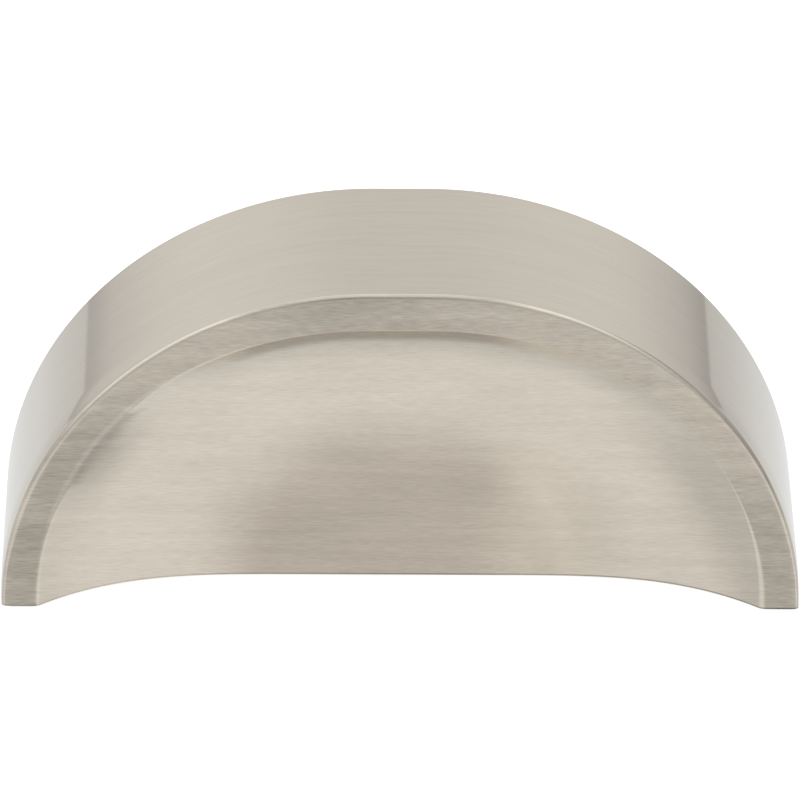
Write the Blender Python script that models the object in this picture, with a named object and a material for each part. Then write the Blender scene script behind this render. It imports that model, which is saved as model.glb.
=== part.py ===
"""A one-piece die-cast cup pull: an arched hood with a dished front, open behind and below.

X runs across the drawer front, Y into it and Z up. The origin is the point on the drawer front midway
between the two screws: the seat lies in the plane Y = 0, and the hood stands out from it towards -Y.
"""

import math

import bmesh
import bpy
from mathutils import Vector

# Screws, which set the length of the pull
SCREW_SPACING = 0.064
END_OVERHANG = 0.011
SCREW_HEIGHT = 0.0135
HOLE_DIAMETER = 0.0034
HOLE_DEPTH = 0.011
COUNTERSINK = 0.0005
DRILL_POINT_ANGLE = math.radians(118.0)
BOSS_DIAMETER = 0.0088
BOSS_DRAFT = math.radians(1.5)

# Arch
HEIGHT = 0.038
PROJECTION = 0.025
CROWN_FLAT = 0.006

# Dished front, measured inward from the arch and back from the face of the rim
RIM_WIDTH = 0.0037
DISH_DEPTH = 0.0072
COVE_RADIUS = 0.030
LIP_RADIUS = 0.001
CROWN_EDGE_RADIUS = 0.0004
FOOT_EDGE_RADIUS = 0.0013

# Walls
BAND_THICKNESS = 0.0024
PANEL_THICKNESS = 0.0022
INNER_FILLET = 0.002
SEAT_EDGE_BREAK = 0.0004

# Steps along each half of the arch and round each curve of its section
ARCH_STEPS = 30
COVE_STEPS = 10
ROUND_STEPS = 5
TURNED_STEPS = 40

# How far a cutting shape runs past the metal
OVERSHOOT = 0.002

SATIN_NICKEL = (0.56, 0.51, 0.44, 1.0)
SATIN_ROUGHNESS = 0.34
SMOOTH_ANGLE = math.radians(28.0)

HALF_WIDTH = SCREW_SPACING / 2 + END_OVERHANG
SCREW_X = {"left": -SCREW_SPACING / 2, "right": SCREW_SPACING / 2}

# The cove's centre as (inset, recess). It is tangent to the flat and would meet the rim's face at RIM_WIDTH
COVE_REACH = math.sqrt(COVE_RADIUS**2 - (COVE_RADIUS - DISH_DEPTH) ** 2)
COVE_CENTRE = (RIM_WIDTH + COVE_REACH, DISH_DEPTH - COVE_RADIUS)


def clear_scene():
    for old in list(bpy.data.objects):
        bpy.data.objects.remove(old, do_unlink=True)


def arc(centre, radius, start, end, steps):
    """Points (inset, recess) on an arc, with angles from the inset direction towards the recess direction."""
    turns = [start + (end - start) * step / steps for step in range(steps + 1)]
    return [(centre[0] + radius * math.cos(turn), centre[1] + radius * math.sin(turn)) for turn in turns]


def arch_stations(leg):
    """Places along the arch from the left foot to the right one: (x, height, inward x, inward z, share).

    Each half is a quarter ellipse from its foot to the straight crown. The share is 0 at the crown and
    1 at the foot, and a leg runs straight down from each foot when it is wanted.
    """
    long_axis = HALF_WIDTH - CROWN_FLAT / 2
    right = []
    for step in range(ARCH_STEPS + 1):
        turn = math.pi / 2 * step / ARCH_STEPS
        inward = Vector((-math.sin(turn) * HEIGHT, -math.cos(turn) * long_axis)).normalized()
        x = CROWN_FLAT / 2 + long_axis * math.sin(turn)
        right.append((x, HEIGHT * math.cos(turn), inward.x, inward.y, step / ARCH_STEPS))
    if leg:
        right.append((HALF_WIDTH, -leg, -1.0, 0.0, 1.0))
    left = [(-x, z, -inward_x, inward_z, share) for x, z, inward_x, inward_z, share in reversed(right)]
    return left + right


def outer_section(share):
    """The outside of the casting, from the flat of the dish out over the rim to the seat."""
    edge = CROWN_EDGE_RADIUS + (FOOT_EDGE_RADIUS - CROWN_EDGE_RADIUS) * share
    lip_drop = LIP_RADIUS - COVE_CENTRE[1]
    lip_reach = math.sqrt((COVE_RADIUS + LIP_RADIUS) ** 2 - lip_drop**2)
    lip_centre = (COVE_CENTRE[0] - lip_reach, LIP_RADIUS)
    lip_angle = math.atan2(lip_drop, -lip_reach)
    cove = arc(COVE_CENTRE, COVE_RADIUS, math.pi / 2, lip_angle, COVE_STEPS)
    lip = arc(lip_centre, LIP_RADIUS, lip_angle - math.pi, -math.pi / 2, ROUND_STEPS)
    front_edge = arc((edge, edge), edge, -math.pi / 2, -math.pi, ROUND_STEPS)
    seat_corner = [(0.0, PROJECTION - SEAT_EDGE_BREAK), (SEAT_EDGE_BREAK, PROJECTION)]
    return cove + lip[1:] + front_edge + seat_corner


def inner_section(_share):
    """The hollow behind the dish, from the back of its flat out to the band and past the seat."""
    radius = COVE_RADIUS + PANEL_THICKNESS
    reach = COVE_CENTRE[0] - BAND_THICKNESS - INNER_FILLET
    drop = math.sqrt((radius + INNER_FILLET) ** 2 - reach**2)
    fillet_centre = (BAND_THICKNESS + INNER_FILLET, COVE_CENTRE[1] + drop)
    fillet_angle = math.atan2(drop, -reach)
    cove = arc(COVE_CENTRE, radius, math.pi / 2, fillet_angle, COVE_STEPS)
    fillet = arc(fillet_centre, INNER_FILLET, fillet_angle - math.pi, -math.pi, ROUND_STEPS)
    return cove + fillet[1:] + [(BAND_THICKNESS, PROJECTION + OVERSHOOT)]


def grown_from(vert, grown):
    """The new point that an extrusion made from this one."""
    return next(edge.other_vert(vert) for edge in vert.link_edges if edge.other_vert(vert) in grown)


def swept_arch(name, section, leg=0.0):
    """Sweeps an open section along the arch and closes it with its front, back and lower faces."""
    shape = bmesh.new()
    stations = arch_stations(leg)

    def place(station, point):
        x, z, inward_x, inward_z, _ = station
        inset, recess = point
        return Vector((x + inward_x * inset, recess - PROJECTION, z + inward_z * inset - SCREW_HEIGHT))

    row = [shape.verts.new(place(stations[0], point)) for point in section(stations[0][-1])]
    edges = [shape.edges.new(pair) for pair in zip(row, row[1:])]
    rows = [row]
    for station in stations[1:]:
        new = bmesh.ops.extrude_edge_only(shape, edges=edges)["geom"]
        grown = {vert for vert in new if isinstance(vert, bmesh.types.BMVert)}
        row = [grown_from(vert, grown) for vert in row]
        for vert, point in zip(row, section(station[-1])):
            vert.co = place(station, point)
        edges = [shape.edges.get(pair) for pair in zip(row, row[1:])]
        rows.append(row)
    flat_of_dish = [row[0] for row in rows]
    back = [row[-1] for row in rows]
    underside = rows[0] + rows[-1][::-1]
    for outline in (flat_of_dish, back, underside):
        shape.faces.new(outline)
    bmesh.ops.recalc_face_normals(shape, faces=shape.faces)
    return finished(name, shape)


def turned(name, profile, centre_x):
    """Turns a profile of (radius, y) points, which starts and ends on the axis, about a screw's line."""
    shape = bmesh.new()
    chain = [shape.verts.new((radius, y, 0.0)) for radius, y in profile]
    edges = [shape.edges.new(pair) for pair in zip(chain, chain[1:])]
    bmesh.ops.spin(
        shape,
        geom=chain + edges,
        cent=(0.0, 0.0, 0.0),
        axis=(0.0, 1.0, 0.0),
        angle=math.tau,
        steps=TURNED_STEPS,
        use_merge=True,
    )
    bmesh.ops.remove_doubles(shape, verts=shape.verts, dist=1e-7)
    bmesh.ops.recalc_face_normals(shape, faces=shape.faces)
    turned_object = finished(name, shape)
    turned_object.location.x = centre_x
    return turned_object


def finished(name, shape):
    mesh = bpy.data.meshes.new(name)
    shape.to_mesh(mesh)
    shape.free()
    made = bpy.data.objects.new(name, mesh)
    bpy.context.scene.collection.objects.link(made)
    return made


def helper(made):
    """Keeps a cutting shape out of the finished part."""
    made.hide_render = True
    made.display_type = "WIRE"
    return made


def cut(target, tool):
    boolean = target.modifiers.new(tool.name, "BOOLEAN")
    boolean.operation = "DIFFERENCE"
    boolean.solver = "EXACT"
    boolean.object = tool


def boss_shape(side):
    """A boss with draft, narrowest at the seat. It is kept when the hollow is cut."""
    near, far = OVERSHOOT * 2, -PROJECTION
    near_radius = BOSS_DIAMETER / 2 - near * math.tan(BOSS_DRAFT)
    far_radius = BOSS_DIAMETER / 2 - far * math.tan(BOSS_DRAFT)
    profile = [(0.0, near), (near_radius, near), (far_radius, far), (0.0, far)]
    return helper(turned(f"boss_{side}", profile, SCREW_X[side]))


def hole_shape(side):
    """A blind tapped hole with a drill point, and a small countersink at the seat."""
    radius = HOLE_DIAMETER / 2
    mouth = radius + COUNTERSINK + OVERSHOOT
    tip = HOLE_DEPTH + radius / math.tan(DRILL_POINT_ANGLE / 2)
    countersink = [(0.0, OVERSHOOT), (mouth, OVERSHOOT), (radius, -COUNTERSINK)]
    profile = countersink + [(radius, -HOLE_DEPTH), (0.0, -tip)]
    return helper(turned(f"screw_hole_{side}", profile, SCREW_X[side]))


def satin_nickel():
    material = bpy.data.materials.new("satin_nickel")
    material.use_nodes = True
    surface = material.node_tree.nodes["Principled BSDF"]
    surface.inputs["Base Color"].default_value = SATIN_NICKEL
    surface.inputs["Metallic"].default_value = 1.0
    surface.inputs["Roughness"].default_value = SATIN_ROUGHNESS
    return material


def main():
    clear_scene()
    pull = swept_arch("arch_pull", outer_section)
    hollow = helper(swept_arch("hollow", inner_section, leg=OVERSHOOT))
    for side in SCREW_X:
        cut(hollow, boss_shape(side))
    cut(pull, hollow)
    for side in SCREW_X:
        cut(pull, hole_shape(side))
    pull.data.materials.append(satin_nickel())
    pull.data.shade_smooth()
    pull.data.set_sharp_from_angle(angle=SMOOTH_ANGLE)


main()
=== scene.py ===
"""A one-piece cup pull in brushed satin nickel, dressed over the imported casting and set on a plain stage.

X runs across the drawer front, Y into it and Z up, in metres. The seat lies in the plane Y = 0, the hood
stands out from it towards -Y, and the origin is midway between the two screws.
"""

import math

import bmesh
import bpy
from bpy.props import FloatProperty, FloatVectorProperty, IntProperty, PointerProperty
from bpy.types import Operator, Panel, PropertyGroup
from mathutils import Matrix, Vector


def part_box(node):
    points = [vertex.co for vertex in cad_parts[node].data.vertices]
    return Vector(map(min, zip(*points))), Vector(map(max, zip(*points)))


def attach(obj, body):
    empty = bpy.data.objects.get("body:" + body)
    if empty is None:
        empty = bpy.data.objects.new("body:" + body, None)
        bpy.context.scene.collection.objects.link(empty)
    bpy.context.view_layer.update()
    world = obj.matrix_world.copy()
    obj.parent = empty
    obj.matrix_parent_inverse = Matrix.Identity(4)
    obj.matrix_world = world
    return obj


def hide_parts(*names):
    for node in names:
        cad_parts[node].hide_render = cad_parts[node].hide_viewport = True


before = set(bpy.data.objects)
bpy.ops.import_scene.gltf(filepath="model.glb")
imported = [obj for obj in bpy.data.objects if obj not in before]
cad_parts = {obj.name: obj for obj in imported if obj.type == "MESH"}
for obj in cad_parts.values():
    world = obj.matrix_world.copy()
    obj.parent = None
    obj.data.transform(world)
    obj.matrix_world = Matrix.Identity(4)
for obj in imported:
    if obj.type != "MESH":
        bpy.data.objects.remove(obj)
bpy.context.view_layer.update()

bl_info = {
    "name": "Arch cup pull",
    "version": (1, 0, 0),
    "blender": (4, 5, 0),
    "location": "3D View > Sidebar > Cup pull",
    "description": "A die-cast cup pull with a dished front, brushed and plated in satin nickel",
    "category": "Add Mesh",
}

CAD_NODE = "arch_pull"
LOW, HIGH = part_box(CAD_NODE)

# How far a cutting shape runs past the metal, and how close two points are that are one
OVERSHOOT = 0.002
SAME_POINT = 1e-7
SMOOTH_ANGLE = math.radians(28.0)

# The two skins of the casting, by material index
BRUSHED, AS_CAST = 0, 1
SKINS = ("brushed", "as_cast")

# Steps along the arch, round each curve of the two sections, and in a whole turn
HOOD_STEPS, HOLLOW_STEPS = 96, 64
DISH_STEPS, LIP_STEPS, EDGE_STEPS, RELIEF_STEPS = 56, 12, 24, 8
BACK_STEPS, FILLET_STEPS = 30, 10
BOSS_STEPS, BORE_STEPS, THREAD_STEPS = 72, 48, 24

# Under 1, the points of the dish gather towards the lip, where its slope changes fastest
DISH_GATHERING = 0.7

# As shares of the way from the crown to a foot: where the lip starts to change, and the length over which
# the front edge comes to be fully worn
LIP_START = 0.15
WEAR_RUN = 0.3

# The ridge that cuts a thread: how far inside the bore it starts, and its half widths in pitches
RIDGE_OVERLAP = 0.0002
RIDGE_BASE, RIDGE_CREST = 0.46, 0.08

# Grains to a metre, along the brush lines and across them, and in the cast skin every way
FRONT_LINES, FRONT_STREAKS = (600.0, 7000.0), (60.0, 900.0)
BAND_LINES, BAND_STREAKS = (220.0, 6500.0), (40.0, 900.0)
CAST_GRAIN, CAST_FLOW = 2600.0, 160.0
BRUSHING_CENTRE = (0.0, -100.0, 0.0)

# Where the two halves of the studio tent meet, as the rise of a direction
TENT_SEAM = (-0.095, -0.085)
WHITE = (1.0, 1.0, 1.0, 1.0)
WARM_WHITE = (1.0, 0.965, 0.915, 1.0)
COOL_WHITE = (1.0, 1.02, 1.03, 1.0)

FLOOR_COLOUR = (0.85, 0.85, 0.85, 1.0)
FLOOR_GLOW = 0.45
FLOOR_GAP = 0.0001


class PullShape(PropertyGroup):
    half_width: FloatProperty(
        name="Half width",
        description="From the middle of the pull to the outside of a foot",
        default=HIGH.x,
        min=0.02,
        unit="LENGTH",
        precision=5,
    )
    height: FloatProperty(
        name="Height",
        description="From the lower edge to the top of the crown",
        default=HIGH.z - LOW.z,
        min=0.02,
        unit="LENGTH",
        precision=5,
    )
    projection: FloatProperty(
        name="Projection",
        description="From the drawer front to the face of the rim",
        default=-LOW.y,
        min=0.01,
        unit="LENGTH",
        precision=5,
    )
    crown_flat: FloatProperty(
        name="Crown flat",
        description="The short straight stretch between the two quarter ellipses of the arch",
        default=0.006,
        unit="LENGTH",
        precision=5,
    )
    left_rim: FloatVectorProperty(
        name="Rim width, left",
        description="Width of the rim's face at the crown, half way down and at the left foot",
        default=(0.0042, 0.0036, 0.0040),
        size=3,
        unit="LENGTH",
        precision=5,
    )
    right_rim: FloatVectorProperty(
        name="Rim width, right",
        description="Width of the rim's face at the crown, half way down and at the right foot",
        default=(0.0042, 0.0038, 0.0041),
        size=3,
        unit="LENGTH",
        precision=5,
    )
    dish_depth: FloatProperty(
        name="Dish depth",
        description="From the face of the rim back to the flat of the dish",
        default=0.0072,
        unit="LENGTH",
        precision=5,
    )
    cove_reach: FloatProperty(
        name="Cove reach",
        description="From the rim to where the dish is quite flat",
        default=0.028,
        unit="LENGTH",
        precision=5,
    )
    cove_power: FloatProperty(
        name="Cove power",
        description="How the dish steepens towards the rim. 2 is an even bowl, and more is flatter",
        default=3.3,
    )
    back_radius: FloatProperty(
        name="Back radius",
        description="Radius of the back of the cove, seen in the hollow",
        default=0.0322,
        unit="LENGTH",
        precision=5,
    )
    back_centre: FloatProperty(
        name="Back centre",
        description="From the outside of the arch to where the back of the cove turns flat",
        default=0.0232,
        unit="LENGTH",
        precision=5,
    )
    left_lip: FloatVectorProperty(
        name="Lip radius, left",
        description="The round inside the rim, at the crown, half way down and at the left foot",
        default=(0.00004, 0.0014, 0.0012),
        size=3,
        unit="LENGTH",
        precision=5,
    )
    right_lip: FloatVectorProperty(
        name="Lip radius, right",
        description="The round inside the rim, at the crown, half way down and at the right foot",
        default=(0.00004, 0.00004, 0.0014),
        size=3,
        unit="LENGTH",
        precision=5,
    )
    crown_edge: FloatVectorProperty(
        name="Front edge at the crown",
        description="How far the round reaches in over the rim and back over the band",
        default=(0.0026, 0.0006),
        size=2,
        unit="LENGTH",
        precision=5,
    )
    left_edge: FloatVectorProperty(
        name="Front edge at the left foot",
        description="How far the worn round reaches in over the rim and back over the band",
        default=(0.0017, 0.0008),
        size=2,
        unit="LENGTH",
        precision=5,
    )
    right_edge: FloatVectorProperty(
        name="Front edge at the right foot",
        description="How far the worn round reaches in over the rim and back over the band",
        default=(0.0010, 0.0009),
        size=2,
        unit="LENGTH",
        precision=5,
    )
    edge_power: FloatProperty(
        name="Front edge power",
        description="How tight the front edge turns. 2 is an ellipse, and more is crisper",
        default=3.5,
    )
    relief: FloatVectorProperty(
        name="Relief",
        description="How far the worn band leans in towards the rim, on the left and on the right",
        default=(0.00013, 0.00008),
        size=2,
        unit="LENGTH",
        precision=5,
    )
    relief_reach: FloatProperty(
        name="Relief reach",
        description="How far back from the rim the lean of the band starts",
        default=0.003,
        unit="LENGTH",
    )
    wear_start: FloatVectorProperty(
        name="Wear start",
        description="Where wear of the edge starts, left and right. 0 is the crown and 1 a foot",
        default=(0.25, 0.3),
        size=2,
    )
    band_wall: FloatProperty(
        name="Band wall",
        description="Thickness of the band",
        default=0.0024,
        unit="LENGTH",
        precision=5,
    )
    panel_wall: FloatProperty(
        name="Panel wall",
        description="Thickness of the dished front",
        default=0.0022,
        unit="LENGTH",
        precision=5,
    )
    inner_fillet: FloatProperty(
        name="Inner fillet",
        description="The round in the hollow between the front and the band",
        default=0.002,
        unit="LENGTH",
        precision=5,
    )
    seat_break: FloatProperty(
        name="Seat edge break",
        description="The small chamfer round the seat",
        default=0.0004,
        unit="LENGTH",
        precision=5,
    )


class PullScrews(PropertyGroup):
    spacing: FloatProperty(
        name="Screw spacing",
        description="Between the centres of the two screws",
        default=0.064,
        unit="LENGTH",
        precision=5,
    )
    boss_diameter: FloatProperty(
        name="Boss diameter",
        description="Across a boss at the seat",
        default=0.0088,
        unit="LENGTH",
        precision=5,
    )
    boss_draft: FloatProperty(
        name="Boss draft",
        description="The taper that lets the casting leave its die",
        default=math.radians(1.5),
        unit="ROTATION",
    )
    bore: FloatProperty(
        name="Tapping bore",
        description="Across the crests of the thread",
        default=0.0034,
        unit="LENGTH",
        precision=5,
    )
    bore_depth: FloatProperty(
        name="Bore depth",
        description="From the seat to where the drill point starts",
        default=0.011,
        unit="LENGTH",
        precision=5,
    )
    countersink: FloatProperty(
        name="Countersink",
        description="Depth of the chamfer at the mouth of a bore",
        default=0.0005,
        unit="LENGTH",
        precision=5,
    )
    drill_point: FloatProperty(
        name="Drill point",
        description="Angle of the cone at the bottom of a bore",
        default=math.radians(118.0),
        unit="ROTATION",
    )
    thread: FloatProperty(
        name="Thread diameter",
        description="Across the roots of the tapped thread",
        default=0.004,
        unit="LENGTH",
        precision=5,
    )
    pitch: FloatProperty(
        name="Thread pitch",
        description="From one turn of the thread to the next",
        default=0.0007,
        unit="LENGTH",
        precision=5,
    )
    turns: IntProperty(
        name="Thread turns",
        description="Full turns of thread below the seat",
        default=13,
    )


class PullFinish(PropertyGroup):
    nickel: FloatVectorProperty(
        name="Nickel",
        description="Colour of the brushed satin nickel",
        default=(0.62, 0.565, 0.485),
        size=3,
        subtype="COLOR",
        min=0.0,
        max=1.0,
    )
    roughness: FloatProperty(
        name="Roughness",
        description="Mean roughness of the band. The front is a little rougher, and the rim more so",
        default=0.05,
        subtype="FACTOR",
        min=0.0,
        max=1.0,
    )
    line_depth: FloatProperty(
        name="Brush line depth",
        description="Height of the bump that the brush lines make",
        default=0.000004,
        unit="LENGTH",
        precision=7,
    )


class PullStage(PropertyGroup):
    elevation: FloatProperty(
        name="Camera elevation",
        description="How far above the level the camera stands",
        default=math.radians(28.555),
        unit="ROTATION",
    )
    azimuth: FloatProperty(
        name="Camera azimuth",
        description="How far the camera stands to the left of straight ahead",
        default=math.radians(0.663),
        unit="ROTATION",
    )
    distance: FloatProperty(
        name="Camera distance",
        description="From the camera to the point that it looks at",
        default=0.976,
        unit="LENGTH",
    )
    roll: FloatProperty(
        name="Camera roll",
        description="How far the camera is turned about its own line of sight",
        default=math.radians(0.561),
        unit="ROTATION",
    )
    lens: FloatProperty(
        name="Lens",
        description="Focal length on a 36 mm sensor",
        default=407.55,
        unit="CAMERA",
    )
    target: FloatVectorProperty(
        name="Target",
        description="The point that the camera looks at",
        default=(-0.00007, -0.0125, 0.00511),
        size=3,
        subtype="XYZ",
        unit="LENGTH",
        precision=5,
    )
    floor_size: FloatProperty(
        name="Floor size",
        description="Side of the square floor",
        default=1.6,
        unit="LENGTH",
    )
    softbox_size: FloatProperty(
        name="Softbox size",
        description="Side of the square softbox overhead",
        default=0.5,
        unit="LENGTH",
    )
    softbox_power: FloatProperty(
        name="Softbox power",
        description="How much light the softbox gives",
        default=1.0,
        unit="POWER",
    )
    softbox_place: FloatVectorProperty(
        name="Softbox place",
        description="Where the softbox hangs. It faces the origin",
        default=(-0.12, -0.15, 0.6),
        size=3,
        subtype="XYZ",
        unit="LENGTH",
    )


def arc(centre, radius, start, end, steps):
    """Points (inset, recess) on an arc, with angles from the inset direction towards the recess one."""
    turns = [start + (end - start) * step / steps for step in range(steps + 1)]
    return [(centre[0] + radius * math.cos(turn), centre[1] + radius * math.sin(turn)) for turn in turns]


def eased(share):
    """A share from 0 to 1 that starts and ends gently."""
    share = min(max(share, 0.0), 1.0)
    return share * share * (3.0 - 2.0 * share)


def arch_stations(shape, steps, leg=0.0):
    """Places along the arch from the left foot to the right one: (x, height, inward x, inward z, share).

    The share runs from -1 at the left foot through 0 on the crown to 1 at the right foot, and a leg runs
    straight down from each foot when it is wanted.
    """
    half_flat = shape.crown_flat / 2
    long_axis = shape.half_width - half_flat
    right = []
    for step in range(steps + 1):
        turn = math.pi / 2 * step / steps
        inward = Vector((-math.sin(turn) * shape.height, -math.cos(turn) * long_axis)).normalized()
        x = half_flat + long_axis * math.sin(turn)
        right.append((x, shape.height * math.cos(turn), inward.x, inward.y, step / steps))
    if leg:
        right.append((shape.half_width, -leg, -1.0, 0.0, 1.0))
    left = [(-x, z, -in_x, in_z, -share) for x, z, in_x, in_z, share in reversed(right)]
    return left + right


def between(values, share):
    """Eases through the values, which stand evenly along a share from 0 to 1."""
    place = min(max(share, 0.0), 1.0) * (len(values) - 1)
    first = min(int(place), len(values) - 2)
    return values[first] + (values[first + 1] - values[first]) * eased(place - first)


def cove(shape, rim_width, lip_radius):
    """The dish from its flat out to the rim, then the round of the lip, as points (inset, recess)."""
    gain = shape.cove_power * shape.dish_depth / shape.cove_reach
    end, slope = shape.cove_reach, math.atan(gain)
    # The lip takes over where its slope is the cove's, and four rounds find the place
    for _ in range(4):
        recess = lip_radius * (1.0 - math.cos(slope))
        end = shape.cove_reach * (1.0 - recess / shape.dish_depth) ** (1.0 / shape.cove_power)
        slope = math.atan(gain * (end / shape.cove_reach) ** (shape.cove_power - 1.0))
    points = []
    for step in range(DISH_STEPS + 1):
        run = end * (step / DISH_STEPS) ** DISH_GATHERING
        rise = shape.dish_depth * (run / shape.cove_reach) ** shape.cove_power
        points.append((rim_width + shape.cove_reach - run, shape.dish_depth - rise))
    centre = (points[-1][0] - lip_radius * math.sin(slope), lip_radius)
    return points + arc(centre, lip_radius, slope - math.pi / 2, -math.pi / 2, LIP_STEPS)[1:]


def outer_section(shape):
    """The outside of the casting, from the flat of the dish out over the rim to the seat."""
    power = 2.0 / shape.edge_power
    turns = [math.pi / 2 * step / EDGE_STEPS for step in range(EDGE_STEPS + 1)]
    seat = [(0.0, shape.projection - shape.seat_break), (shape.seat_break, shape.projection)]

    def section(share):
        down, side = abs(share), int(share > 0)
        rim_width = between((shape.left_rim, shape.right_rim)[side], down)
        lips = (shape.left_lip, shape.right_lip)[side]
        lip_radius = between(lips, (down - LIP_START) / (1.0 - LIP_START))
        points = cove(shape, rim_width, lip_radius)

        # The worn round, and behind it the lean of the band, which dies out towards the seat
        worn = (shape.left_edge, shape.right_edge)[side]
        wear = (down - shape.wear_start[side]) / WEAR_RUN
        inset, recess = (between(pair, wear) for pair in zip(shape.crown_edge, worn))
        lean = between((0.0, shape.relief[side]), wear)
        for turn in turns:
            over_rim, over_band = 1.0 - math.sin(turn) ** power, 1.0 - math.cos(turn) ** power
            points.append((lean + inset * over_rim, recess * over_band))
        for step in range(1, RELIEF_STEPS + 1):
            back = step / RELIEF_STEPS
            points.append((lean * (1.0 - back) ** 2, recess + shape.relief_reach * back))
        return points + seat

    return section


def inner_section(shape):
    """The hollow behind the dish, from the back of its flat out to the band and past the seat."""
    centre = (shape.back_centre, shape.dish_depth + shape.panel_wall - shape.back_radius)
    inset = shape.band_wall + shape.inner_fillet
    drop = math.sqrt((shape.back_radius + shape.inner_fillet) ** 2 - (centre[0] - inset) ** 2)
    angle = math.atan2(drop, inset - centre[0])
    fillet_centre = (inset, centre[1] + drop)
    back = arc(centre, shape.back_radius, math.pi / 2, angle, BACK_STEPS)
    fillet = arc(fillet_centre, shape.inner_fillet, angle - math.pi, -math.pi, FILLET_STEPS)
    points = back + fillet[1:] + [(shape.band_wall, shape.projection + OVERSHOOT)]
    return lambda _share: points


def grown_from(vert, grown):
    """The new point that an extrusion made from this one."""
    return next(edge.other_vert(vert) for edge in vert.link_edges if edge.other_vert(vert) in grown)


def swept_arch(shape, section, steps, leg=0.0):
    """Sweeps an open section along the arch and closes its front, back and underside."""
    swept = bmesh.new()
    stations = arch_stations(shape, steps, leg)

    def place(station, point):
        x, z, inward_x, inward_z, _ = station
        inset, recess = point
        return Vector((x + inward_x * inset, recess - shape.projection, z + inward_z * inset + LOW.z))

    row = [swept.verts.new(place(stations[0], point)) for point in section(stations[0][-1])]
    edges = [swept.edges.new(pair) for pair in zip(row, row[1:])]
    rows = [row]
    for station in stations[1:]:
        new = bmesh.ops.extrude_edge_only(swept, edges=edges)["geom"]
        grown = {vert for vert in new if isinstance(vert, bmesh.types.BMVert)}
        row = [grown_from(vert, grown) for vert in row]
        for vert, point in zip(row, section(station[-1])):
            vert.co = place(station, point)
        edges = [swept.edges.get(pair) for pair in zip(row, row[1:])]
        rows.append(row)
    swept.faces.new([row[0] for row in rows])
    swept.faces.new([row[-1] for row in rows])
    swept.faces.new(rows[0] + rows[-1][::-1])
    bmesh.ops.recalc_face_normals(swept, faces=swept.faces)
    return swept


def on_screw_line(spun, centre_x):
    """Moves a bmesh that was spun about the Y axis to its screw's line, with its faces outwards."""
    bmesh.ops.translate(spun, verts=spun.verts, vec=(centre_x, 0.0, 0.0))
    bmesh.ops.recalc_face_normals(spun, faces=spun.faces)
    return spun


def turned(profile, centre_x, steps):
    """Turns a profile of (radius, y) points about a screw's line, and returns the bmesh."""
    lathe = bmesh.new()
    chain = [lathe.verts.new((radius, y, 0.0)) for radius, y in profile]
    edges = [lathe.edges.new(pair) for pair in zip(chain, chain[1:])]
    bmesh.ops.spin(
        lathe,
        geom=chain + edges,
        cent=(0.0, 0.0, 0.0),
        axis=(0.0, 1.0, 0.0),
        angle=math.tau,
        steps=steps,
        use_merge=True,
    )
    bmesh.ops.remove_doubles(lathe, verts=lathe.verts, dist=SAME_POINT)
    return on_screw_line(lathe, centre_x)


def thread(ridge, centre_x, turns, pitch):
    """Winds a closed outline of (radius, y) points about a screw's line, and returns the bmesh."""
    coil = bmesh.new()
    ring = [coil.verts.new((radius, y, 0.0)) for radius, y in ridge]
    edges = [coil.edges.new(pair) for pair in zip(ring, ring[1:] + ring[:1])]
    bmesh.ops.spin(
        coil,
        geom=ring + edges,
        cent=(0.0, 0.0, 0.0),
        axis=(0.0, 1.0, 0.0),
        dvec=(0.0, pitch / THREAD_STEPS, 0.0),
        angle=math.tau * turns,
        steps=THREAD_STEPS * turns,
        use_merge=False,
    )
    bmesh.ops.holes_fill(coil, edges=[edge for edge in coil.edges if edge.is_boundary], sides=0)
    return on_screw_line(coil, centre_x)


def made_object(name, solid, skin=BRUSHED):
    """A mesh object from a bmesh, with all its faces on one skin."""
    for face in solid.faces:
        face.material_index = skin
    mesh = bpy.data.meshes.new(name)
    solid.to_mesh(mesh)
    solid.free()
    for skin_name in SKINS:
        skin_material = bpy.data.materials.get(skin_name) or bpy.data.materials.new(skin_name)
        mesh.materials.append(skin_material)
    made = bpy.data.objects.new(name, mesh)
    bpy.context.scene.collection.objects.link(made)
    return made


def settle(target):
    """Bakes an object's modifiers into its mesh."""
    graph = bpy.context.evaluated_depsgraph_get()
    settled = bpy.data.meshes.new_from_object(target.evaluated_get(graph))
    target.modifiers.clear()
    old = target.data
    target.data = settled
    bpy.data.meshes.remove(old)


def cut(target, tool):
    """Cuts one solid out of another for good."""
    boolean = target.modifiers.new(tool.name, "BOOLEAN")
    boolean.operation = "DIFFERENCE"
    boolean.solver = "EXACT"
    boolean.object = tool
    settle(target)
    bpy.data.meshes.remove(tool.data)


def casting():
    """The cast hood, which the later operators work on."""
    found = bpy.data.objects.get("casting")
    if found is None:
        raise RuntimeError("cast the hood first")
    return found


class CUPPULL_OT_cast(Operator):
    """Casts the hood: the band, the rim and the dish in one sweep, hollow behind round its two bosses"""

    bl_idname = "cuppull.cast"
    bl_label = "Cast the hood"

    def execute(self, context):
        shape, screws = context.scene.pull_shape, context.scene.pull_screws
        hood = made_object("casting", swept_arch(shape, outer_section(shape), HOOD_STEPS))
        inner = swept_arch(shape, inner_section(shape), HOLLOW_STEPS, leg=OVERSHOOT)
        hollow = made_object("hollow", inner, AS_CAST)
        near, far = OVERSHOOT * 2, -shape.projection
        near_radius, far_radius = (
            screws.boss_diameter / 2 - end * math.tan(screws.boss_draft) for end in (near, far)
        )
        profile = [(0.0, near), (near_radius, near), (far_radius, far), (0.0, far)]
        for side in (-1, 1):
            boss = turned(profile, side * screws.spacing / 2, BOSS_STEPS)
            cut(hollow, made_object("boss", boss, AS_CAST))
        cut(hood, hollow)
        return {"FINISHED"}


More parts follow.
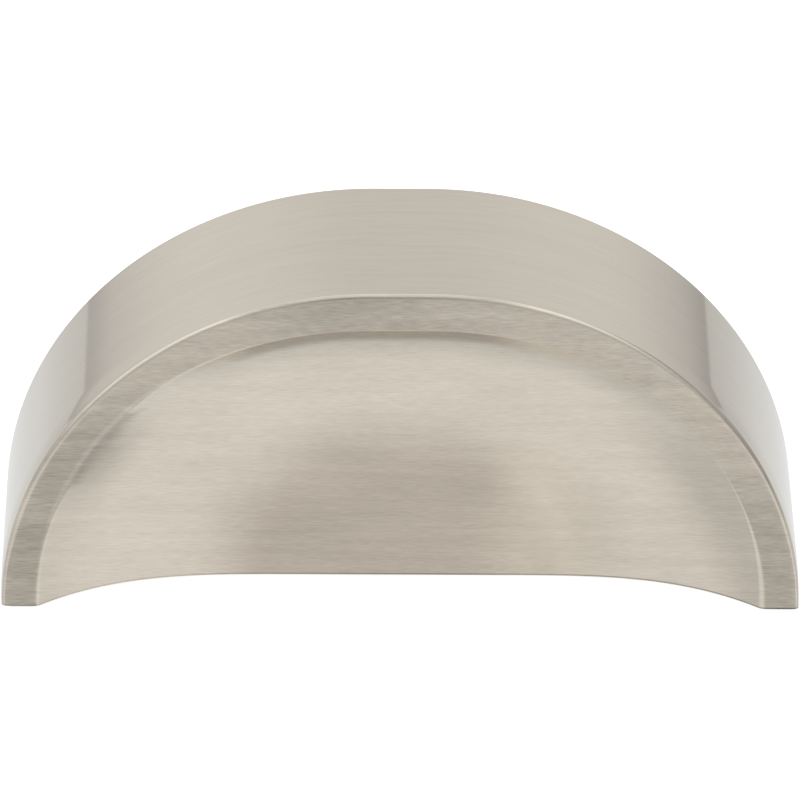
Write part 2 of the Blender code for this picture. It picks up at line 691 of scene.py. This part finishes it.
class CUPPULL_OT_tap(Operator):
    """Drills the two bosses from the seat and taps them for the screws"""

    bl_idname = "cuppull.tap"
    bl_label = "Drill and tap the bosses"

    def execute(self, context):
        screws = context.scene.pull_screws
        hood = casting()
        radius, root, pitch = screws.bore / 2, screws.thread / 2, screws.pitch
        tip = screws.bore_depth + radius / math.tan(screws.drill_point / 2)
        bore = [
            (0.0, OVERSHOOT),
            (radius + screws.countersink + OVERSHOOT, OVERSHOOT),
            (radius, -screws.countersink),
            (radius, -screws.bore_depth),
            (0.0, -tip),
        ]
        inner, deepest = radius - RIDGE_OVERLAP, pitch - screws.bore_depth
        ridge = [
            (inner, deepest - pitch * RIDGE_BASE),
            (root, deepest - pitch * RIDGE_CREST),
            (root, deepest + pitch * RIDGE_CREST),
            (inner, deepest + pitch * RIDGE_BASE),
        ]
        for side in (-1, 1):
            centre_x = side * screws.spacing / 2
            cut(hood, made_object("bore", turned(bore, centre_x, BORE_STEPS)))
            cut(hood, made_object("thread", thread(ridge, centre_x, screws.turns, pitch)))
        return {"FINISHED"}


class Number:
    """A number that changes over a surface. Sums on it add Math nodes."""

    def __init__(self, sheet, socket):
        self.sheet = sheet
        self.socket = socket

    def maths(self, operation, *values):
        node = self.sheet.node("ShaderNodeMath", {"operation": operation}, dict(enumerate(values)))
        return Number(self.sheet, node.outputs[0])

    def __add__(self, other):
        return self.maths("ADD", self, other)

    def __radd__(self, other):
        return self.maths("ADD", other, self)

    def __sub__(self, other):
        return self.maths("SUBTRACT", self, other)

    def __rsub__(self, other):
        return self.maths("SUBTRACT", other, self)

    def __mul__(self, other):
        return self.maths("MULTIPLY", self, other)

    def __rmul__(self, other):
        return self.maths("MULTIPLY", other, self)

    def __truediv__(self, other):
        return self.maths("DIVIDE", self, other)

    def __rtruediv__(self, other):
        return self.maths("DIVIDE", other, self)

    def __neg__(self):
        return self.maths("MULTIPLY", self, -1.0)

    def __abs__(self):
        return self.maths("ABSOLUTE", self)

    def at_most(self, limit):
        return self.maths("MINIMUM", self, limit)

    def bell(self, centre, width):
        """1 at the centre and falling away smoothly on both sides of it."""
        off = (self - centre) / width
        return self.maths("EXPONENT", -(off * off))

    def step(self, start, end):
        """0 before the start and 1 past the end, with a smooth rise between them."""
        node = self.sheet.node(
            "ShaderNodeMapRange",
            {"interpolation_type": "SMOOTHSTEP"},
            {"Value": self, "From Min": start, "From Max": end},
        )
        return Number(self.sheet, node.outputs[0])


class Sheet:
    """A node tree that starts empty."""

    def __init__(self, owner):
        owner.use_nodes = True
        self.tree = owner.node_tree
        self.tree.nodes.clear()

    def node(self, kind, settings=None, sockets=None):
        """Adds a node: its settings first, then the values or links of its sockets."""
        node = self.tree.nodes.new(kind)
        for name, value in (settings or {}).items():
            setattr(node, name, value)
        for name, value in (sockets or {}).items():
            if isinstance(value, Number):
                value = value.socket
            if isinstance(value, bpy.types.NodeSocket):
                self.tree.links.new(value, node.inputs[name])
            else:
                node.inputs[name].default_value = value
        return node

    def number(self, node, output=0):
        """What a node gives, as a number."""
        return Number(self, node.outputs[output])

    def axes(self, vector):
        """The three numbers of a place or a direction."""
        parts = self.node("ShaderNodeSeparateXYZ", {}, {0: vector})
        return [self.number(parts, axis) for axis in range(3)]

    def noise(self, u, v, w, detail=2.0, roughness=0.5):
        """Noise about 0, between -0.5 and 0.5, with one grain for each unit of its three numbers."""
        place = self.node("ShaderNodeCombineXYZ", {}, {0: u, 1: v, 2: w})
        noise = self.node(
            "ShaderNodeTexNoise",
            {"noise_dimensions": "3D"},
            {"Vector": place.outputs[0], "Scale": 1.0, "Detail": detail, "Roughness": roughness},
        )
        return self.number(noise) - 0.5

    def blend(self, factor, first, second):
        """A colour between two colours."""
        node = self.node("ShaderNodeMix", {"data_type": "RGBA"}, {0: factor, 6: first, 7: second})
        return node.outputs[2]

    def scaled(self, colour, factor):
        """A colour made darker or brighter."""
        scale = {0: tuple(colour), "Scale": factor}
        return self.node("ShaderNodeVectorMath", {"operation": "SCALE"}, scale).outputs[0]


def brush_marks(sheet, at, front):
    """Fine lines and broad streaks: level across the front, and round the arch along the band."""
    x, y, z = at
    # In the cove the lines drop by half their depth
    level = z + 0.5 * y

    def on_front(grains):
        along, across = grains
        return sheet.noise(x * along, 0.0, level * across, 3.0, 0.6)

    def on_band(grains, detail, roughness):
        along, across = grains
        return sheet.noise(x * along, y * across, z * along, detail, roughness)

    lines = on_band(BAND_LINES, 3.0, 0.6)
    streaks = on_band(BAND_STREAKS, 2.0, 0.5)
    lines = lines + front * (on_front(FRONT_LINES) - lines)
    streaks = streaks + front * (on_front(FRONT_STREAKS) - streaks)
    return lines, streaks


def rim_face(at, forward, outward, streaks):
    """1 on the face of the rim, which is coloured darker, and 0 on the dish and the band."""
    x, y, z = at
    # Half way down the left side the darker colour runs on over the lip into the cove as painted shade, and
    # stops at it elsewhere
    left_lip_shade = z.bell(0.0055, 0.006) * (-x).step(0.018, 0.028)
    depth = y - LOW.y - left_lip_shade * 0.0003 + streaks * left_lip_shade * 0.0003
    darker_depth = 1.0 - depth.step(0.0002, 0.0007 + left_lip_shade * 0.0012)
    # The face ends where the casting turns away, sooner towards the worn edge than towards the lip
    to_lip = (forward + left_lip_shade * 0.3 - 0.03 * x.step(0.034, 0.039)).step(0.93, 0.985)
    # Near the feet it also reaches over the worn round, as painted shade on its highlight
    to_edge = (forward + 0.04 * (1.0 - z.step(-0.0115, -0.004))).step(0.970, 0.995)
    inward = (-outward).step(0.0005, 0.002)
    return (to_edge + inward * (to_lip - to_edge)) * darker_depth


def brushed_nickel(material, finish):
    """Satin nickel, brushed along the band and across the front, and darker on the rim, with painted shade
    and a painted highlight.
    """
    sheet = Sheet(material)
    place = sheet.node("ShaderNodeTexCoord")
    at = sheet.axes(place.outputs["Object"])
    x, y, z = at
    normal_x, normal_y, normal_z = sheet.axes(place.outputs["Normal"])
    forward = abs(normal_y)
    front = forward.step(0.35, 0.7)
    outward = normal_x * x + normal_z * (z - LOW.z)
    lines, streaks = brush_marks(sheet, at, front)
    clouds = sheet.noise(x * 90.0, y * 90.0, z * 150.0, 3.0)
    rim = rim_face(at, forward, outward, streaks)

    # The rim is darkest at its feet and at the crown, where the darkening is painted shade
    foot = 1.0 - (z + 0.15 * x).step(0.002, 0.011)
    crown = x.bell(-0.005, 0.010) * z.step(0.015, 0.022)

    # Painted shade: a thin dark line along the lower edge, fainter at the left
    lowest = 1.0 - z.step(LOW.z + 0.00008, LOW.z + 0.00022)
    painted_edge_shade = front * lowest * (0.4 + 0.6 * x.step(-0.035, 0.0))

    # Painted shade in a crescent close under the lip at the crown
    depth = y - LOW.y
    shade_under_lip = depth.step(0.0001, 0.0002) * (1.0 - depth.step(0.0010, 0.0020))
    along_crown = x.step(-0.020, -0.0145) * (1.0 - x.step(0.008, 0.015)) * z.step(0.008, 0.014)
    painted_crescent_shade = shade_under_lip * front * along_crown

    # A painted highlight low on the dish, to the right of its middle
    painted_sheen = x.bell(0.0145, 0.0045) * (1.0 - z.step(-0.004, 0.006)) * (front - rim)

    shade = (
        1.0
        + lines * (0.17 + front * 0.19 + rim * 0.32)
        + streaks * (0.09 + front * 0.14 + rim * 0.14)
        + clouds * (0.04 + front * 0.10)
        # The rim's darker colour, painted shade at the crown
        - rim * (0.09 + foot * 0.18 + crown * 0.15)
        - painted_edge_shade * 0.5
        - painted_crescent_shade * 0.33
        + painted_sheen * 0.20
    )
    relief = (lines + streaks * 2.0) * (0.08 + front * 0.42)
    bump = sheet.node(
        "ShaderNodeBump",
        {},
        {"Strength": 1.0, "Distance": finish.line_depth, "Height": relief},
    )
    surface = sheet.node(
        "ShaderNodeBsdfPrincipled",
        {},
        {
            "Base Color": sheet.scaled(finish.nickel, shade),
            "Metallic": 1.0,
            "Roughness": finish.roughness + streaks * 0.03 + front * 0.11 + rim * 0.16,
            "Anisotropic": 0.5,
            "Anisotropic Rotation": 0.25,
            "Normal": bump.outputs[0],
        },
    )
    sheet.node("ShaderNodeOutputMaterial", {}, {"Surface": surface.outputs[0]})


def cast_nickel(material, finish):
    """The plated skin of the casting inside the hollow, which no brush reaches."""
    sheet = Sheet(material)
    at = sheet.axes(sheet.node("ShaderNodeTexCoord").outputs["Object"])
    grain = sheet.noise(*(axis * CAST_GRAIN for axis in at), 3.0, 0.6)
    flow = sheet.noise(*(axis * CAST_FLOW for axis in at), 3.0)
    bump = sheet.node("ShaderNodeBump", {}, {"Strength": 1.0, "Distance": 0.00002, "Height": grain})
    surface = sheet.node(
        "ShaderNodeBsdfPrincipled",
        {},
        {
            "Base Color": sheet.scaled(finish.nickel, 0.9 + grain * 0.14 + flow * 0.12),
            "Metallic": 1.0,
            "Roughness": 0.42 + flow * 0.2,
            "Normal": bump.outputs[0],
        },
    )
    sheet.node("ShaderNodeOutputMaterial", {}, {"Surface": surface.outputs[0]})


class CUPPULL_OT_finish(Operator):
    """Brushes and plates the casting, and puts it in the place of the plain one"""

    bl_idname = "cuppull.finish"
    bl_label = "Brush and plate"

    def execute(self, context):
        finish = context.scene.pull_finish
        pull = casting()
        pull.data.shade_smooth()
        pull.data.set_sharp_from_angle(angle=SMOOTH_ANGLE)
        level = pull.modifiers.new("flat_faces_stay_flat", "WEIGHTED_NORMAL")
        level.mode = "FACE_AREA"
        level.keep_sharp = True
        settle(pull)
        # Cycles takes the direction of brushing from this space. Its far centre makes that level all over
        pull.data.use_auto_texspace = False
        pull.data.texspace_location = BRUSHING_CENTRE
        pull.data.texspace_size = (1.0, 1.0, 1.0)
        brushed_nickel(pull.data.materials[BRUSHED], finish)
        cast_nickel(pull.data.materials[AS_CAST], finish)
        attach(pull, "root")
        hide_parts(CAD_NODE)
        return {"FINISHED"}


def dim_patch(x, z):
    """How much dimmer the tent is low in front, where the middle of the dish mirrors it."""
    patch = (0.22 * x.bell(0.02, 0.09) + 0.29 * x.bell(0.006, 0.015)) * z.step(-0.8, -0.5)
    patch = patch * (1.0 - 0.6 * z.step(-0.465, -0.41))
    patch = patch + 0.45 * x.bell(0.0, 0.014) * z.step(-0.475, -0.445) * (1.0 - z.step(-0.35, -0.25))
    low_left = 0.15 * (-x).step(0.02, 0.08) * (1.0 - 0.7 * (-x).step(0.1, 0.3))
    return patch + low_left * z.step(-0.75, -0.6) * (1.0 - z.step(-0.488, -0.476))


def lower_tent(x, y, z, behind, patch):
    """How bright the lower half of the tent is, whose front the rim and the dish mirror."""
    below = -z
    to_side = 0.07 * (-x).step(0.1, 0.25) * z.step(-0.5, -0.47)
    to_right = 0.37 * x.bell(0.54, 0.12) * y.step(-0.4, 0.0) + 0.2 * x.step(0.7, 0.95)
    to_left = 0.28 * (-x).step(0.25, 0.55) * y.step(-0.65, -0.2)
    to_horizon = z.step(-0.3, -0.1) * (0.2 + 0.15 * x.step(0.1, 0.4))
    under = 0.27 * y.step(-0.15, 0.2) * (1.0 - x.step(0.1, 0.35))
    in_front = (1.03 - patch - to_right - under - to_horizon - to_side).at_most(1.03 - to_left)
    at_back = 0.70 + 0.5 * below.at_most(0.3) + 0.15 * (-x).step(0.7, 0.85) - 0.08 * x.bell(0.65, 0.25)
    straight_down = below.step(0.5, 0.85)
    bright = in_front + behind * (1.0 - straight_down) * (at_back - in_front)
    return bright - 0.35 * y.step(0.3, 0.5) * straight_down


def upper_tent(x, z, behind):
    """How bright the upper half of the tent is. The band mirrors its back, and its front holds a lamp."""
    lamp = z.step(0.05, 0.5) * (0.62 + 0.23 * x.bell(0.0, 0.25)) * (1.0 - 0.85 * x.step(0.45, 0.8))
    in_front = (0.68 + lamp) * (1.0 - 0.3 * x.step(0.5, 0.8))
    in_front = in_front - 0.35 * x.bell(-0.03, 0.07) * (1.0 - z.step(0.05, 0.3))
    rise = z.step(-0.25, 0.3)
    at_side = abs(x).step(0.6, 0.85)
    at_back = 0.52 - 0.128 * x + (0.385 + 0.0745 * x) * rise - 0.07 * x.bell(0.0, 0.2)
    at_back = at_back - (0.2 + 0.05 * x) * at_side * z.step(-0.1, 0.15)
    bright = in_front + behind * (at_back - in_front)
    return bright * (1.0 - 0.11 * (1.0 - z.step(-0.085, 0.02)))


def studio_world(world):
    """A white room for the camera, and for the metal a soft tent with dimmer places in it.

    Here x, y and z are the parts of a direction, from -1 to 1, and a brightness of 1 is white.
    """
    sheet = Sheet(world)
    x, y, z = sheet.axes(sheet.node("ShaderNodeTexCoord").outputs["Generated"])
    behind = y.step(-0.1, 0.35)
    patch = dim_patch(x, z)
    low = lower_tent(x, y, z, behind, patch)
    high = upper_tent(x, z, behind)
    above_seam = (z - 0.011 * x.step(0.0, 0.3)).step(*TENT_SEAM)
    tent = low + above_seam * (high - low)

    # The dim patch in front is a little warm, and the lower part of the wall behind a little cool
    glossy = sheet.number(sheet.node("ShaderNodeLightPath"), "Is Glossy Ray")
    warm = glossy * (patch * 2.0).at_most(1.0) * (1.0 - z.step(-0.3, -0.1))
    cool = glossy * behind * (1.0 - z.step(*TENT_SEAM))
    colour = sheet.blend(warm, WHITE, WARM_WHITE)
    colour = sheet.blend(cool, colour, COOL_WHITE)
    strength = 1.0 + glossy * (tent - 1.0)
    light = sheet.node("ShaderNodeBackground", {}, {"Color": colour, "Strength": strength})
    sheet.node("ShaderNodeOutputWorld", {}, {"Surface": light.outputs[0]})


def floor_white(material):
    """White for the camera, and darker only where the pull keeps the light off it."""
    sheet = Sheet(material)
    lit = sheet.node("ShaderNodeBsdfDiffuse", {}, {"Color": FLOOR_COLOUR})
    glow = sheet.node("ShaderNodeEmission", {}, {"Color": WHITE, "Strength": FLOOR_GLOW})
    both = sheet.node("ShaderNodeAddShader", {}, {0: lit.outputs[0], 1: glow.outputs[0]})
    seen = sheet.node("ShaderNodeLightPath").outputs["Is Camera Ray"]
    mixed = sheet.node("ShaderNodeMixShader", {}, {0: seen, 1: lit.outputs[0], 2: both.outputs[0]})
    sheet.node("ShaderNodeOutputMaterial", {}, {"Surface": mixed.outputs[0]})


class CUPPULL_OT_stage(Operator):
    """Sets up the pale floor, the soft light and the camera"""

    bl_idname = "cuppull.stage"
    bl_label = "Set the stage"

    def execute(self, context):
        scene, stage = context.scene, context.scene.pull_stage
        scene.view_settings.view_transform = "Standard"

        plate = bmesh.new()
        bmesh.ops.create_grid(plate, x_segments=1, y_segments=1, size=stage.floor_size / 2)
        bmesh.ops.translate(plate, verts=plate.verts, vec=(0.0, 0.0, LOW.z - FLOOR_GAP))
        mesh = bpy.data.meshes.new("floor")
        plate.to_mesh(mesh)
        plate.free()
        mesh.materials.append(bpy.data.materials.new("floor_white"))
        floor_white(mesh.materials[0])
        floor = bpy.data.objects.new("floor", mesh)
        scene.collection.objects.link(floor)
        floor.visible_glossy = False

        scene.world = bpy.data.worlds.new("studio")
        studio_world(scene.world)

        softbox = bpy.data.lights.new("softbox", "AREA")
        softbox.shape = "SQUARE"
        softbox.size = stage.softbox_size
        softbox.energy = stage.softbox_power
        lamp = bpy.data.objects.new("softbox", softbox)
        lamp.location = stage.softbox_place
        lamp.rotation_euler = Vector(lamp.location).to_track_quat("Z", "Y").to_euler()
        lamp.visible_glossy = False
        scene.collection.objects.link(lamp)

        lens = bpy.data.cameras.new("camera")
        lens.sensor_width = 36.0
        lens.lens = stage.lens
        lens.clip_start = 0.01
        camera = bpy.data.objects.new("camera", lens)
        aside, ahead, level = math.sin(stage.azimuth), math.cos(stage.azimuth), math.cos(stage.elevation)
        back = Vector((-aside * level, -ahead * level, math.sin(stage.elevation)))
        camera.matrix_world = (
            Matrix.Translation(Vector(stage.target) + back * stage.distance)
            @ back.to_track_quat("Z", "Y").to_matrix().to_4x4()
            @ Matrix.Rotation(stage.roll, 4, "Z")
        )
        scene.collection.objects.link(camera)
        scene.camera = camera
        return {"FINISHED"}


class CUPPULL_PT_panel(Panel):
    bl_idname = "CUPPULL_PT_panel"
    bl_label = "Cup pull"
    bl_space_type = "VIEW_3D"
    bl_region_type = "UI"
    bl_category = "Cup pull"

    def draw(self, context):
        for group in GROUPS:
            box = self.layout.box()
            settings = getattr(context.scene, group)
            for name in settings.__annotations__:
                box.prop(settings, name)
        for operator in OPERATORS:
            self.layout.operator(operator.bl_idname)


GROUPS = {
    "pull_shape": PullShape,
    "pull_screws": PullScrews,
    "pull_finish": PullFinish,
    "pull_stage": PullStage,
}
OPERATORS = (CUPPULL_OT_cast, CUPPULL_OT_tap, CUPPULL_OT_finish, CUPPULL_OT_stage)


def register():
    for name, group in GROUPS.items():
        bpy.utils.register_class(group)
        setattr(bpy.types.Scene, name, PointerProperty(type=group))
    for cls in (*OPERATORS, CUPPULL_PT_panel):
        bpy.utils.register_class(cls)


def unregister():
    for cls in (CUPPULL_PT_panel, *reversed(OPERATORS)):
        bpy.utils.unregister_class(cls)
    for name, group in reversed(GROUPS.items()):
        delattr(bpy.types.Scene, name)
        bpy.utils.unregister_class(group)


def main():
    register()
    bpy.ops.cuppull.cast()
    bpy.ops.cuppull.tap()
    bpy.ops.cuppull.finish()
    bpy.ops.cuppull.stage()


if __name__ == "__main__":
    main()
